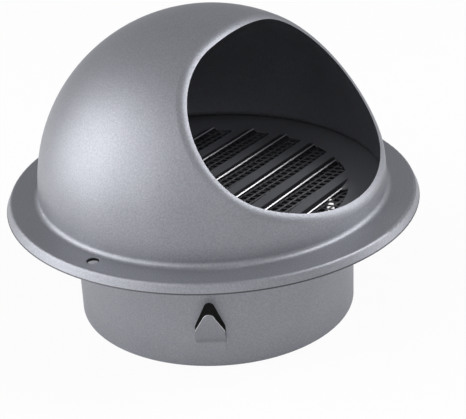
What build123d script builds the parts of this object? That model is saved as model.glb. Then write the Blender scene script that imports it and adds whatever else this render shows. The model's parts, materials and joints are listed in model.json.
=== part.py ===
from build123d import *
import math
import os

# Ball-shaped wall vent for a 125 mm duct, in millimetres.
# The origin is on the collar's axis in the plane of the wall. +Z points out of the wall, and the mouth faces -Y.

# Hood: one drawn pressing
dome_d = 151.6
flange_w = 14.2
rim_h = 4.0
rim_bend_r = 1.5
rim_slope = 65.0
hood_t = 0.7
root_fillet_r = 2.4

# Mouth: its outline is drawn on a plane square to the mouth's axis and seen from the dome's centre
mouth_tilt = 39.0
mouth_plane_dist = 60.0
mouth_half_w = 58.2
mouth_widest_up = 4.5
mouth_top = 42.0
mouth_bottom = 35.1
mouth_low_corner_r = 31.2
lip_bend_r = 6.0
lip_depth = 1.5
hem_w = 8.0

# Screw holes through the flange
screw_root_gap = 0.15
screw_hole_d = 4.4
screw_sink_d = 5.9
screw_sink_depth = 0.4

# Louvre plate under the flange
plate_t = 0.7
plate_edge_gap = 0.8
plate_screw_gap = 0.3
slot_margin = 2.0
louvre_count = 7
louvre_back_gap = 9.9
louvre_front_gap = 5.9
louvre_rise = 2.6
blade_run = 5.4
blade_bevel = 0.35
slot_w = 6.8
slot_corner_r = 2.0

# Insect mesh under the plate
mesh_t = 0.5
mesh_margin = 1.0
mesh_long_pitch = 16.0
mesh_short_pitch = 11.0
mesh_strand_w = 1.6
mesh_rim_w = 2.0

# Duct collar
collar_d = 123.0
collar_t = 0.7
collar_drop = 51.0
collar_flange_w = 8.5
collar_bend_r = 1.0

# Spring barbs lanced out of the collar
barb_count = 3
barb_first_angle = -57.0
barb_base_z = -40.0
barb_w = 12.4
barb_point_h = 22.9
barb_shoulder_h = 8.3
barb_shoulder_r = 4.0
barb_tip_r = 2.2
barb_bend_r = 3.5
barb_back_r = 10.0
barb_angle = 23.0
barb_spring = 10.0
barb_kerf = 0.12

# Heights and radii that follow from the sizes above
dome_r = dome_d / 2
flange_r = dome_r + flange_w
dome_z = rim_h + root_fillet_r
plate_top_z = rim_h - hood_t
plate_low_z = plate_top_z - plate_t
mesh_low_z = plate_low_z - mesh_t
rim_turn = math.radians(rim_slope)
rim_bend_x = flange_r - rim_h / math.tan(rim_turn) - rim_bend_r * math.tan(rim_turn / 2)
plate_r = rim_bend_x - plate_edge_gap
collar_r = collar_d / 2
collar_flange_r = collar_r + collar_flange_w
mesh_r = collar_flange_r - mesh_margin
slot_circle_r = collar_r - slot_margin
louvre_pitch = (2 * slot_circle_r - louvre_back_gap - louvre_front_gap) / (louvre_count - 1)
screw_r = dome_r + root_fillet_r + screw_sink_d / 2 + screw_root_gap
through = 1.0


def hood_section(inset, floor_z):
    """Half section of the hood's outside, or of its hollow when inset by the sheet's thickness."""
    root_x = dome_r + root_fillet_r
    foot_x = flange_r - (inset + floor_z * math.cos(rim_turn)) / math.sin(rim_turn)
    with BuildSketch(Plane.XZ) as section:
        with BuildLine():
            bend = CenterArc((rim_bend_x, rim_h - rim_bend_r), rim_bend_r - inset, 90 - rim_slope, rim_slope)
            Polyline((0, dome_z + dome_r - inset), (0, floor_z), (foot_x, floor_z), bend @ 0)
            Line(bend @ 1, (root_x, rim_h - inset))
            CenterArc((root_x, dome_z), root_fillet_r + inset, 270, -90)
            CenterArc((0, dome_z), dome_r - inset, 0, 90)
        make_face()
    return section.sketch


def mouth_outline(grow):
    """The mouth's D-shaped outline: flat top, round shoulders, and a wide arc tangent to the lower corners."""
    half_w = mouth_half_w + grow
    top = mouth_top + grow
    bottom = mouth_bottom + grow
    low_r = mouth_low_corner_r + grow
    up_r = top - mouth_widest_up
    up_x = half_w - up_r
    low_x = half_w - low_r
    drop = mouth_widest_up + bottom
    base_r = (low_x**2 + drop**2 - low_r**2) / (2 * (drop - low_r))
    base_y = base_r - bottom
    turn = math.degrees(math.atan2(mouth_widest_up - base_y, low_x))
    with BuildSketch() as outline:
        with BuildLine():
            Line((-up_x, top), (up_x, top))
            CenterArc((up_x, mouth_widest_up), up_r, 90, -90)
            CenterArc((low_x, mouth_widest_up), low_r, 0, turn)
            CenterArc((0, base_y), base_r, turn, -180 - 2 * turn)
            CenterArc((-low_x, mouth_widest_up), low_r, 180 - turn, turn)
            CenterArc((-up_x, mouth_widest_up), up_r, 180, -90)
        make_face()
    return outline.sketch


def mouth_cone(grow):
    """The mouth's outline carried along rays from the dome's centre."""
    near_scale = 0.4
    far_scale = 1.0 + dome_r / mouth_plane_dist
    tilt = math.radians(mouth_tilt)
    axis = Vector(0, -math.cos(tilt), math.sin(tilt))
    outline = mouth_outline(grow)
    ends = []
    for share in (near_scale, far_scale):
        origin = Vector(0, 0, dome_z) + axis * (mouth_plane_dist * share)
        plane = Plane(origin=origin, x_dir=(1, 0, 0), z_dir=axis)
        ends.append(plane * scale(outline, by=share))
    return loft(ends, ruled=True)


def at_screws(shape):
    """Two copies of a shape at the screw holes, left and right of the mouth."""
    return [Pos(side * screw_r, 0, 0) * shape for side in (-1, 1)]


def make_hood():
    """Dome, flange and rim in one sheet, with the mouth's turned-in hem and the countersunk holes."""
    centre = Vector(0, 0, dome_z)
    body = revolve(hood_section(0, 0), Axis.Z) - mouth_cone(0)
    mouth_edges = [
        edge
        for edge in body.edges()
        if abs((edge @ 0.5 - centre).length - dome_r) < 0.01 and (edge @ 0.5).Y < -through
    ]
    body = fillet(mouth_edges, lip_bend_r)
    hollow = revolve(hood_section(hood_t, -through), Axis.Z) - mouth_cone(hem_w)
    body = body - hollow - Pos(0, 0, dome_z) * Sphere(dome_r - lip_depth)
    hole = Pos(0, 0, rim_h) * Cylinder(screw_hole_d / 2, 4 * hood_t)
    sink = Pos(0, 0, rim_h - screw_sink_depth / 2) * Cone(screw_hole_d / 2, screw_sink_d / 2, screw_sink_depth)
    return body - at_screws(hole) - at_screws(sink)


def across(points):
    """A prism over a (distance to the mouth, height) polygon, running across the whole plate."""
    section = make_face(Polyline(*[(-m, z) for m, z in points], close=True))
    return extrude(Plane.YZ * section, amount=plate_r, both=True)


def end_cone(base_z):
    """The 45 degree cone on which the blades' ends come down to the slot circle at a height."""
    height = 4 * louvre_rise
    low_r = slot_circle_r + height / 2
    return Pos(0, 0, base_z) * Cone(low_r, low_r - height, height)


def slot_face(edge_m):
    """One slot's opening: cut across by the raised edge, bounded by the slot circle, with rounded far corners."""
    strip = Pos(0, -edge_m - slot_w / 2) * Rectangle(2 * plate_r, slot_w)
    face = strip & Circle(slot_circle_r)
    corners = [v for v in face.vertices() if abs(v.Y + edge_m + slot_w) < 0.01]
    return fillet(corners, slot_corner_r) if corners else face


def make_louvre_plate():
    """The base plate with its row of pressed louvres: blades raised on the side towards the mouth."""
    edges = [louvre_back_gap - slot_circle_r + louvre_pitch * k for k in range(louvre_count)]
    edge_z = plate_top_z + louvre_rise
    bevel_drop = blade_bevel * louvre_rise / blade_run
    blades = Part()
    hollows = Part()
    slots = Part()
    for edge_m in edges:
        crease_m = edge_m - blade_run
        blades += across(
            [
                (crease_m, plate_low_z),
                (crease_m, plate_top_z),
                (edge_m - blade_bevel, edge_z - bevel_drop),
                (edge_m, edge_z - bevel_drop - blade_bevel),
                (edge_m, plate_low_z),
            ]
        )
        hollows += across(
            [
                (crease_m, plate_low_z - through),
                (crease_m, plate_low_z),
                (edge_m, plate_low_z + louvre_rise),
                (edge_m, plate_low_z - through),
            ]
        )
        slots += extrude(Pos(0, 0, plate_low_z - through) * slot_face(edge_m), amount=plate_t + 2 * through)
    disc = Pos(0, 0, plate_low_z) * extrude(Circle(plate_r), amount=plate_t)
    plate = disc + (blades & end_cone(plate_top_z))
    plate = plate - (hollows & end_cone(plate_low_z)) - slots
    hole = Pos(0, 0, plate_low_z) * Cylinder(screw_hole_d / 2 + plate_screw_gap, 4 * plate_t)
    return plate - at_screws(hole)


def make_insect_mesh():
    """Expanded metal: a disc with staggered diamond gaps inside the collar's bore and a plain clamped edge."""
    field_r = collar_r - collar_t - mesh_rim_w
    half_long = (mesh_long_pitch - mesh_strand_w) / 2
    half_short = (mesh_short_pitch - mesh_strand_w) / 2
    rows = math.ceil(2 * field_r / mesh_short_pitch)
    columns = math.ceil(field_r / mesh_long_pitch)
    diamond = make_face(Polyline((half_long, 0), (0, half_short), (-half_long, 0), (0, -half_short), close=True))
    places = []
    for row in range(-rows, rows + 1):
        shift = mesh_long_pitch / 2 if row % 2 else 0
        for column in range(-columns - 1, columns + 1):
            x = column * mesh_long_pitch + shift
            y = row * mesh_short_pitch / 2
            if math.hypot(abs(x) + half_long, y) < field_r and math.hypot(x, abs(y) + half_short) < field_r:
                places.append(Pos(x, y))
    gaps = [place * diamond for place in places]
    return Pos(0, 0, mesh_low_z) * extrude(Circle(mesh_r) - gaps, amount=mesh_t)


def barb_outline(width, rise):
    """The barb's rounded A shape on its base line, with its heights multiplied by the rise."""
    points = [
        (-width / 2, 0),
        (width / 2, 0),
        (width / 2, barb_shoulder_h * rise),
        (0, barb_point_h * rise),
        (-width / 2, barb_shoulder_h * rise),
    ]
    face = make_face(Polyline(*points, close=True))
    face = fillet(face.vertices().sort_by(Axis.Y)[-1], barb_tip_r)
    shoulders = [v for v in face.vertices() if abs(v.Y - barb_shoulder_h * rise) < 0.01]
    return fillet(shoulders, barb_shoulder_r)


def barb_prism(width, rise):
    """The A shape at the barb's base, carried out along the radius on the -Y side."""
    plane = Plane(origin=(0, -collar_r / 2, barb_base_z), x_dir=(1, 0, 0), z_dir=(0, -1, 0))
    return extrude(plane * barb_outline(width, rise), amount=collar_r)


def barb_tab():
    """The tab on the -Y side: it leaves the wall through a soft foot and leans out by the barb's angle."""
    mid_r = collar_r - collar_t / 2
    with BuildSketch(Plane.YZ) as section:
        with BuildLine() as path:
            root = Line((-mid_r, barb_base_z - barb_bend_r), (-mid_r, barb_base_z))
            foot = JernArc(root @ 1, root % 1, barb_bend_r, barb_angle + barb_spring)
            back = JernArc(foot @ 1, foot % 1, barb_back_r, -barb_spring)
            PolarLine(back @ 1, barb_point_h, direction=back % 1)
        trace(path.line, collar_t)
    strip = extrude(section.sketch, amount=barb_w, both=True)
    outline = barb_prism(barb_w, math.cos(math.radians(barb_angle)))
    foot_z = barb_base_z - barb_bend_r / 2
    stub = Pos(0, -collar_r, foot_z) * Box(barb_w, collar_r, barb_bend_r)
    return strip & (outline + stub)


def make_collar():
    """Flanged tube with the barbs' windows cut through its wall and the tabs bent out of them."""
    low_z = -collar_drop
    top_z = mesh_low_z
    inner_r = collar_r - collar_t
    bend_x = collar_r + collar_bend_r
    bend_z = top_z - collar_t - collar_bend_r
    with BuildSketch(Plane.XZ) as section:
        with BuildLine():
            Polyline((inner_r, bend_z), (inner_r, low_z), (collar_r, low_z), (collar_r, bend_z))
            CenterArc((bend_x, bend_z), collar_bend_r, 180, -90)
            Polyline(
                (bend_x, top_z - collar_t),
                (collar_flange_r, top_z - collar_t),
                (collar_flange_r, top_z),
                (bend_x, top_z),
            )
            CenterArc((bend_x, bend_z), collar_bend_r + collar_t, 90, 90)
        make_face()
    collar = revolve(section.sketch, Axis.Z)
    window = barb_prism(barb_w + 2 * barb_kerf, 1)
    tab = barb_tab()
    turns = [barb_first_angle + 360 / barb_count * k for k in range(barb_count)]
    for turn in turns:
        collar = collar - Rot(0, 0, turn) * window
    for turn in turns:
        collar = collar + Rot(0, 0, turn) * tab
    return collar


os.makedirs("parts", exist_ok=True)
export_step(make_hood(), "parts/hood.step")
export_step(make_louvre_plate(), "parts/louvre_plate.step")
export_step(make_insect_mesh(), "parts/insect_mesh.step")
export_step(make_collar(), "parts/collar.step")
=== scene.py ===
import json
import math
import bmesh
import bpy
from mathutils import Matrix, Vector


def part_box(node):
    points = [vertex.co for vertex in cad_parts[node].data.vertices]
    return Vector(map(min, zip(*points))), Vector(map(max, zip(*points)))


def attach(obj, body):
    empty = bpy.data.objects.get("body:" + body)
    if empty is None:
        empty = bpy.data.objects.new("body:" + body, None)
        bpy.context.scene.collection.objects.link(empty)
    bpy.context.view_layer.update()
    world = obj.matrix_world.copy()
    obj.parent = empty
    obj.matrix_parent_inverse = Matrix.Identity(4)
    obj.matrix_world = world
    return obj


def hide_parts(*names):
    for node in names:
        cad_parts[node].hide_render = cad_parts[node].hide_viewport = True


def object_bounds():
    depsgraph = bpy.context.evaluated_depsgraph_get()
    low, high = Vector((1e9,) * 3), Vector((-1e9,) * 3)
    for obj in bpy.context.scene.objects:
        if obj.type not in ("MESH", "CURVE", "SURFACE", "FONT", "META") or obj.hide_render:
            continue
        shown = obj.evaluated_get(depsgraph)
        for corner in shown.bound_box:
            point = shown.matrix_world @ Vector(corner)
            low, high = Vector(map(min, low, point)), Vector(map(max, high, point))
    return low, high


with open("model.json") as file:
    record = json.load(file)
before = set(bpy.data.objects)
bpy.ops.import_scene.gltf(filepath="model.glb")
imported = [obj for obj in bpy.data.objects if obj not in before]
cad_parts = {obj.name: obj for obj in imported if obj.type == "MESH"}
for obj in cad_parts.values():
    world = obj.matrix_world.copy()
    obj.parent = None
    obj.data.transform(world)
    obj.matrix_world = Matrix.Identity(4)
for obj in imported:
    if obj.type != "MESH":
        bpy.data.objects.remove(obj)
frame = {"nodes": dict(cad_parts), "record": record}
cad_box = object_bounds()
scene = bpy.context.scene

# Camera: the photograph's view in metres and degrees, with the small turns that centre the picture
image_w = 466
focal_px = 1330.5
sensor_mm = 36.0
camera_distance = 0.5851
camera_elevation = 26.057
camera_azimuth = -143.1
camera_near = 0.01
aim_turn = (0.832, -0.835, -3.058)

# Places on the vent, in metres
fits = {mount["name"]: mount["dims"] for mount in frame["record"]["mounts"]}
mesh_low, mesh_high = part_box("insect_mesh")
sheet_t = 0.0007
# Painted shade: how far the black inside the screw holes reaches past their radius
hole_shade_margin = 0.00035
floor_z = cad_box[0][2]
collar_r = fits["collar_bore"]["r_mm"] / 1000 + sheet_t
screw_r = fits["wall_screws"]["pcd_mm"] / 2000
hole_shade_r = fits["wall_screws"]["hole_r_mm"] / 1000 + hole_shade_margin
plate_top_z = mesh_high.z + sheet_t
# Painted shade: height of the dark strip at the rim's lower edge
rim_foot_shade_h = 0.0005
barb_low_z = -0.0405
barb_top_z = -0.014

# Insect mesh, in metres and degrees: the diamonds, their strands and the plain edge round them
mesh_r = mesh_high.x
mesh_rim_r = 0.0612
mesh_rim_steps = 96
mesh_long_pitch = 0.006
mesh_short_pitch = 0.0042
mesh_turn = -38.0
strand_w = 0.0007
strand_t = 0.00032
strand_twist = 28.0

# Finishes: the darkest and the lightest tone of each coat, and the tones of places that differ from it,
# among them painted shade and a painted highlight
coat_tones = ((0.23, 0.235, 0.262), (0.34, 0.346, 0.378))
plate_tones = ((0.16, 0.163, 0.18), (0.24, 0.244, 0.265))
mesh_tones = ((0.09, 0.09, 0.097), (0.15, 0.15, 0.162))
# Painted shade: the louvre blades' tops, which face away from the light, are painted dark
blade_shade_tone = (0.11, 0.11, 0.12)
blade_edge_tone = (0.7, 0.7, 0.72)
# Painted highlight: the barbs' bare cut edges are painted near-white so they show as bright lines
barb_edge_highlight_tone = (0.9, 0.9, 0.92)
# Painted shade: the inside of the screw holes is painted near-black
hole_shade_tone = (0.02, 0.02, 0.02)
# Painted shade: the rim's turned-under lower edge is painted dark
rim_foot_shade_tone = (0.1, 0.1, 0.11)

# Grain of the coat: noise scales in cells per metre, the height of the pebbles in metres, and shares
flake_scale = 1500.0
flake_detail = 2.0
flake_roughness = 0.65
tone_scale = 45.0
tone_detail = 3.0
tone_share = 0.25
tone_range = (0.35, 0.9)
pebble_scale = 1100.0
pebble_detail = 2.0
pebble_roughness = 0.5
pebble_h = 0.0001
gloss_spread = 0.05

# Parts of a unit normal that tell faces apart: towards the mouth, away from it, and along the radius
mouth_facing = -0.5
away_facing = 0.2
radius_facing = 0.55

# Studio: shares of white, and the floor and the lamps' aim in metres
camera_white = 0.93
sky_mirror_white = 0.35
floor_mirror_white = 0.5
ambient = 0.35
sky_tint = (0.97, 0.98, 1.0)
open_floor_tone = 0.8
# Painted shade: the floor shut in by the collar is painted dark
shut_floor_shade_tone = 0.12
floor_size = 6.0
foot_shade_w = 0.022
lamp_aim_z = 0.03


# Shader nodes
def add_node(tree, kind, **values):
    """A shader node with its input values or properties set by name."""
    node = tree.nodes.new(kind)
    for name, value in values.items():
        if name in node.inputs:
            node.inputs[name].default_value = value
        else:
            setattr(node, name, value)
    return node


def math_node(tree, operation, first, second=0.0):
    """A math node fed by sockets or plain numbers; returns its output."""
    node = add_node(tree, "ShaderNodeMath", operation=operation)
    for socket, value in zip(node.inputs, (first, second)):
        if isinstance(value, (int, float)):
            socket.default_value = value
        else:
            tree.links.new(value, socket)
    return node.outputs[0]


def sum_of_squares(tree, first, second):
    """The squares of two sockets added up."""
    squares = [math_node(tree, "MULTIPLY", value, value) for value in (first, second)]
    return math_node(tree, "ADD", *squares)


def mix_shaders(tree, share, first, second):
    """A mix of two shaders, where the share is the second one's; returns its output."""
    mix = add_node(tree, "ShaderNodeMixShader")
    tree.links.new(share, mix.inputs["Fac"])
    tree.links.new(first, mix.inputs[1])
    tree.links.new(second, mix.inputs[2])
    return mix.outputs["Shader"]


def place_and_normal(tree):
    """The coordinates and the normal of the shaded point, each split into X, Y and Z."""
    coords = add_node(tree, "ShaderNodeTexCoord")
    splits = []
    for name in ("Object", "Normal"):
        split = add_node(tree, "ShaderNodeSeparateXYZ")
        tree.links.new(coords.outputs[name], split.inputs["Vector"])
        splits.append([split.outputs[axis] for axis in "XYZ"])
    return splits


def empty_material(name):
    """A material whose node tree holds only its output."""
    material = bpy.data.materials.new(name)
    material.use_nodes = True
    tree = material.node_tree
    tree.nodes.clear()
    return material, tree, add_node(tree, "ShaderNodeOutputMaterial")


# Powder coat
def powder_coat(name, tones, roughness, metallic, grain):
    """Satin metallic powder coat: a fine pebbled skin, small flakes and a slow change of tone."""
    material, tree, output = empty_material(name)
    link = tree.links.new
    shader = add_node(tree, "ShaderNodeBsdfPrincipled", Metallic=metallic)
    link(shader.outputs["BSDF"], output.inputs["Surface"])
    noise = "ShaderNodeTexNoise"
    flakes = add_node(tree, noise, Scale=flake_scale, Detail=flake_detail, Roughness=flake_roughness)
    slow = add_node(tree, noise, Scale=tone_scale, Detail=tone_detail)
    pebbles = add_node(tree, noise, Scale=pebble_scale, Detail=pebble_detail, Roughness=pebble_roughness)
    place = add_node(tree, "ShaderNodeTexCoord")
    for texture in (flakes, slow, pebbles):
        link(place.outputs["Object"], texture.inputs["Vector"])
    slow_share = math_node(tree, "MULTIPLY", slow.outputs["Fac"], tone_share)
    ramp = add_node(tree, "ShaderNodeValToRGB")
    for element, position, colour in zip(ramp.color_ramp.elements, tone_range, tones):
        element.position = position
        element.color = (*colour, 1)
    link(math_node(tree, "ADD", flakes.outputs["Fac"], slow_share), ramp.inputs["Fac"])
    link(ramp.outputs["Color"], shader.inputs["Base Color"])
    gloss = add_node(tree, "ShaderNodeMapRange")
    gloss.inputs["To Min"].default_value = roughness - gloss_spread
    gloss.inputs["To Max"].default_value = roughness + gloss_spread
    link(pebbles.outputs["Fac"], gloss.inputs["Value"])
    link(gloss.outputs["Result"], shader.inputs["Roughness"])
    bump = add_node(tree, "ShaderNodeBump", Strength=grain, Distance=pebble_h)
    link(pebbles.outputs["Fac"], bump.inputs["Height"])
    link(bump.outputs["Normal"], shader.inputs["Normal"])
    return material


def finish_where(mask_of, material, colour, roughness, metallic=1.0):
    """Shows a plain finish instead of the coat where the mask is one."""
    tree = material.node_tree
    output = next(n for n in tree.nodes if n.type == "OUTPUT_MATERIAL")
    coat = output.inputs["Surface"].links[0].from_socket
    plain = add_node(tree, "ShaderNodeBsdfPrincipled", Metallic=metallic, Roughness=roughness)
    plain.inputs["Base Color"].default_value = (*colour, 1)
    mixed = mix_shaders(tree, mask_of(tree), coat, plain.outputs["BSDF"])
    tree.links.new(mixed, output.inputs["Surface"])


# Masks of the places where the finish differs, among them places of painted shade and a painted highlight
def louvre_edge_mask(tree):
    """One on the blades' raised cut edges, which face the mouth."""
    place, normal = place_and_normal(tree)
    faces_mouth = math_node(tree, "LESS_THAN", normal[1], mouth_facing)
    above_plate = math_node(tree, "GREATER_THAN", place[2], plate_top_z)
    return math_node(tree, "MULTIPLY", faces_mouth, above_plate)


def blade_shade_mask(tree):
    """One on the blades' tops, which face away from the mouth and its light; they are painted dark as
    painted shade.
    """
    normal = place_and_normal(tree)[1]
    return math_node(tree, "GREATER_THAN", normal[1], away_facing)


def barb_edge_highlight_mask(tree):
    """One on the cut edges of the barbs and their windows, which do not face along the radius; these bare
    edges are painted near-white as a painted highlight.
    """
    place, normal = place_and_normal(tree)
    along_x = math_node(tree, "MULTIPLY", place[0], normal[0])
    along_y = math_node(tree, "MULTIPLY", place[1], normal[1])
    along = math_node(tree, "ABSOLUTE", math_node(tree, "ADD", along_x, along_y))
    sideways = math_node(tree, "LESS_THAN", along, radius_facing * collar_r)
    above = math_node(tree, "GREATER_THAN", place[2], barb_low_z)
    below = math_node(tree, "LESS_THAN", place[2], barb_top_z)
    return math_node(tree, "MULTIPLY", sideways, math_node(tree, "MULTIPLY", above, below))


def screw_hole_shade_mask(tree):
    """One on the punched walls of the two screw holes, which are painted near-black as painted shade inside
    the holes.
    """
    place = place_and_normal(tree)[0]
    side = math_node(tree, "SUBTRACT", math_node(tree, "ABSOLUTE", place[0]), screw_r)
    return math_node(tree, "LESS_THAN", sum_of_squares(tree, side, place[1]), hole_shade_r**2)


def rim_foot_shade_mask(tree):
    """One on the lowest strip of the rim, where its edge turns under; it is painted dark as painted shade.
    """
    place = place_and_normal(tree)[0]
    return math_node(tree, "LESS_THAN", place[2], rim_foot_shade_h)


# Materials
grey_coat = powder_coat("grey_coat", coat_tones, roughness=0.47, metallic=0.72, grain=0.3)
plate_coat = powder_coat("plate_coat", plate_tones, roughness=0.45, metallic=0.3, grain=0.3)
collar_coat = powder_coat("collar_coat", coat_tones, roughness=0.47, metallic=0.72, grain=0.3)
mesh_metal = powder_coat("mesh_metal", mesh_tones, roughness=0.45, metallic=0.6, grain=0.2)
# Painted shade on the blades' tops
finish_where(blade_shade_mask, plate_coat, blade_shade_tone, roughness=0.45)
finish_where(louvre_edge_mask, plate_coat, blade_edge_tone, roughness=0.45)
# Painted shade inside the screw holes of the plate and the hood
finish_where(screw_hole_shade_mask, plate_coat, hole_shade_tone, roughness=0.6)
finish_where(screw_hole_shade_mask, grey_coat, hole_shade_tone, roughness=0.6)
# Painted shade along the rim's lower edge
finish_where(rim_foot_shade_mask, grey_coat, rim_foot_shade_tone, roughness=0.5)
# Painted highlight on the barbs' cut edges
finish_where(barb_edge_highlight_mask, collar_coat, barb_edge_highlight_tone, roughness=0.4, metallic=0.1)


def wear(node, material):
    """Puts one material on every slot of a CAD node."""
    if not node.data.materials:
        node.data.materials.append(material)
    for slot in node.material_slots:
        slot.material = material


wear(frame["nodes"]["hood"], grey_coat)
wear(frame["nodes"]["louvre_plate"], plate_coat)
wear(frame["nodes"]["collar"], collar_coat)


# Insect mesh: expanded metal, a lattice of thin strands twisted at their bonds, inside a plain clamped edge
def add_strand(builder, start, end):
    """A flat strand between two bonds of the lattice, tilted as the stretching leaves it."""
    along = (end - start).normalized()
    side = Vector((-along.y, along.x, 0))
    tilt = Matrix.Rotation(math.radians(strand_twist), 3, along)
    wide = tilt @ side * (strand_w / 2)
    thick = tilt @ Vector((0, 0, 1)) * (strand_t / 2)
    rings = []
    for point in (start, end):
        corners = [point + wide + thick, point - wide + thick, point - wide - thick, point + wide - thick]
        rings.append([builder.verts.new(corner) for corner in corners])
    for k in range(4):
        n = (k + 1) % 4
        builder.faces.new((rings[0][k], rings[0][n], rings[1][n], rings[1][k]))
    builder.faces.new(rings[0][::-1])
    builder.faces.new(rings[1])


def add_ring(builder, inner, outer, low, high, steps):
    """A flat ring of rectangular section."""
    loops = []
    for radius, height in ((outer, high), (inner, high), (inner, low), (outer, low)):
        loop = []
        for k in range(steps):
            angle = 2 * math.pi * k / steps
            loop.append(builder.verts.new((radius * math.cos(angle), radius * math.sin(angle), height)))
        loops.append(loop)
    for a in range(4):
        b = (a + 1) % 4
        for k in range(steps):
            n = (k + 1) % steps
            builder.faces.new((loops[a][k], loops[b][k], loops[b][n], loops[a][n]))


def make_insect_mesh():
    """The whole mesh as one object."""
    builder = bmesh.new()
    mid_z = (mesh_high.z + mesh_low.z) / 2
    turn = Matrix.Rotation(math.radians(mesh_turn), 3, "Z")
    half_x = mesh_long_pitch / 2
    half_y = mesh_short_pitch / 2
    count_x = math.ceil(mesh_rim_r / half_x)
    count_y = math.ceil(mesh_rim_r / half_y)
    for i in range(-count_x, count_x):
        for j in range(-count_y, count_y):
            low = (i + j) % 2
            start = turn @ Vector((i * half_x, (j + low) * half_y, mid_z))
            end = turn @ Vector(((i + 1) * half_x, (j + 1 - low) * half_y, mid_z))
            if max(start.to_2d().length, end.to_2d().length) < mesh_rim_r + half_x:
                add_strand(builder, start, end)
    add_ring(builder, mesh_rim_r, mesh_r, mesh_low.z, mesh_high.z, mesh_rim_steps)
    mesh = bpy.data.meshes.new("expanded_mesh")
    builder.to_mesh(mesh)
    builder.free()
    mesh.materials.append(mesh_metal)
    obj = bpy.data.objects.new("expanded_mesh", mesh)
    scene.collection.objects.link(obj)
    return obj


expanded_mesh = make_insect_mesh()
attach(expanded_mesh, "root")
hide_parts("insect_mesh")


# Camera
def view_axes():
    """Right, up and back of the untilted view, in the vent's frame."""
    turn = math.radians(camera_azimuth)
    rise = math.radians(camera_elevation)
    back = Vector((math.cos(turn) * math.cos(rise), math.sin(turn) * math.cos(rise), math.sin(rise)))
    right = Vector((-math.sin(turn), math.cos(turn), 0))
    return right, back.cross(right), back


def add_camera():
    """The camera with its aim turned by the small rotation."""
    right, up, back = view_axes()
    turn = Vector([math.radians(a) for a in aim_turn])
    rows = Matrix.Rotation(turn.length, 3, turn.normalized()) @ Matrix((right, -up, -back))
    pose = Matrix((rows[0], -rows[1], -rows[2])).transposed().to_4x4()
    pose.translation = back * camera_distance
    data = bpy.data.cameras.new("camera")
    data.sensor_fit = "HORIZONTAL"
    data.sensor_width = sensor_mm
    data.lens = focal_px / image_w * sensor_mm
    data.clip_start = camera_near
    camera = bpy.data.objects.new("camera", data)
    camera.matrix_world = pose
    scene.collection.objects.link(camera)
    scene.camera = camera


add_camera()


# Light: soft boxes placed by their angle from the camera towards its right, and by their height
def softbox(name, angle, rise, distance, size, power):
    """A large area lamp that looks at the vent."""
    turn = math.radians(angle)
    tilt = math.radians(rise)
    right = view_axes()[0]
    toward_camera = Vector((right.y, -right.x, 0))
    flat = toward_camera * math.cos(turn) + right * math.sin(turn)
    away = flat * math.cos(tilt) + Vector((0, 0, math.sin(tilt)))
    data = bpy.data.lights.new(name, "AREA")
    data.shape = "RECTANGLE"
    data.size, data.size_y = size
    data.energy = power
    lamp = bpy.data.objects.new(name, data)
    lamp.location = Vector((0, 0, lamp_aim_z)) + away * distance
    lamp.rotation_euler = away.to_track_quat("Z", "Y").to_euler()
    scene.collection.objects.link(lamp)


softbox("left_box", angle=-94, rise=15, distance=1.0, size=(0.8, 0.7), power=4.9)
softbox("left_fill", angle=-66, rise=28, distance=1.1, size=(1.3, 1.1), power=8.2)
softbox("right_box", angle=95, rise=26, distance=1.0, size=(0.4, 1.0), power=5.3)
softbox("mouth_box", angle=76, rise=44, distance=1.0, size=(0.4, 0.4), power=2.4)
softbox("front_box", angle=0, rise=22, distance=1.3, size=(1.0, 0.8), power=1.8)


# World and floor: white to the camera, dimmer in reflections, and a plain dim light on the vent
def light_path_white(tree, mirrored):
    """The share of white for rays from the camera and for mirrored ones, and zero for falling light."""
    path = add_node(tree, "ShaderNodeLightPath")
    seen = math_node(tree, "MULTIPLY", path.outputs["Is Camera Ray"], camera_white)
    other = math_node(tree, "MAXIMUM", path.outputs["Is Glossy Ray"], path.outputs["Is Transmission Ray"])
    return math_node(tree, "MAXIMUM", seen, math_node(tree, "MULTIPLY", other, mirrored))


def past_collar(tree):
    """The distance of a place on the floor from the collar's wall, below zero inside it."""
    place = place_and_normal(tree)[0]
    radius = math_node(tree, "SQRT", sum_of_squares(tree, place[0], place[1]))
    return math_node(tree, "SUBTRACT", radius, collar_r)


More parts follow.
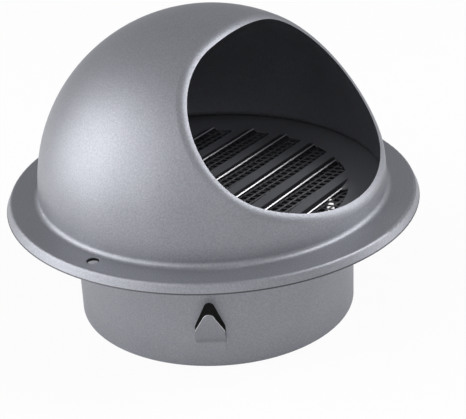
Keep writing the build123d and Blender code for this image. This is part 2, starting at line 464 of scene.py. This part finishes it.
def open_floor(tree):
    """One on the open floor, and zero on the floor shut in by the collar."""
    return math_node(tree, "GREATER_THAN", past_collar(tree), 0.0)


def foot_white(tree):
    """The floor's white in reflections, which rises from zero at the collar's shaded foot."""
    share = math_node(tree, "DIVIDE", past_collar(tree), foot_shade_w)
    share = math_node(tree, "MINIMUM", math_node(tree, "MAXIMUM", share, 0.0), 1.0)
    return math_node(tree, "MULTIPLY", share, floor_mirror_white)


def make_world():
    """The sky round the vent."""
    world = bpy.data.worlds.new("studio")
    scene.world = world
    world.use_nodes = True
    tree = world.node_tree
    tree.nodes.clear()
    sky = add_node(tree, "ShaderNodeBackground", Color=(*sky_tint, 1))
    output = add_node(tree, "ShaderNodeOutputWorld")
    strength = math_node(tree, "MAXIMUM", light_path_white(tree, sky_mirror_white), ambient)
    tree.links.new(strength, sky.inputs["Strength"])
    tree.links.new(sky.outputs["Background"], output.inputs["Surface"])


def floor_paint():
    """White by itself to the camera and in reflections, and matt paint for falling light, painted dark
    inside the collar as painted shade.
    """
    material, tree, output = empty_material("floor_paint")
    is_open = open_floor(tree)
    lighter = math_node(tree, "MULTIPLY", is_open, open_floor_tone - shut_floor_shade_tone)
    matt = add_node(tree, "ShaderNodeBsdfDiffuse")
    # Painted shade: dark paint on the floor inside the collar
    tree.links.new(math_node(tree, "ADD", shut_floor_shade_tone, lighter), matt.inputs["Color"])
    white = add_node(tree, "ShaderNodeEmission")
    share = math_node(tree, "MULTIPLY", light_path_white(tree, foot_white(tree)), is_open)
    mixed = mix_shaders(tree, share, matt.outputs["BSDF"], white.outputs["Emission"])
    tree.links.new(mixed, output.inputs["Surface"])
    return material


def make_floor():
    """The floor that the collar stands on."""
    half = floor_size / 2
    corners = [(x * half, y * half, floor_z) for x, y in ((-1, -1), (1, -1), (1, 1), (-1, 1))]
    mesh = bpy.data.meshes.new("floor")
    mesh.from_pydata(corners, [], [(0, 1, 2, 3)])
    mesh.materials.append(floor_paint())
    obj = bpy.data.objects.new("floor", mesh)
    scene.collection.objects.link(obj)
    return obj


make_world()
floor_obj = make_floor()

scene.view_settings.view_transform = "Standard"
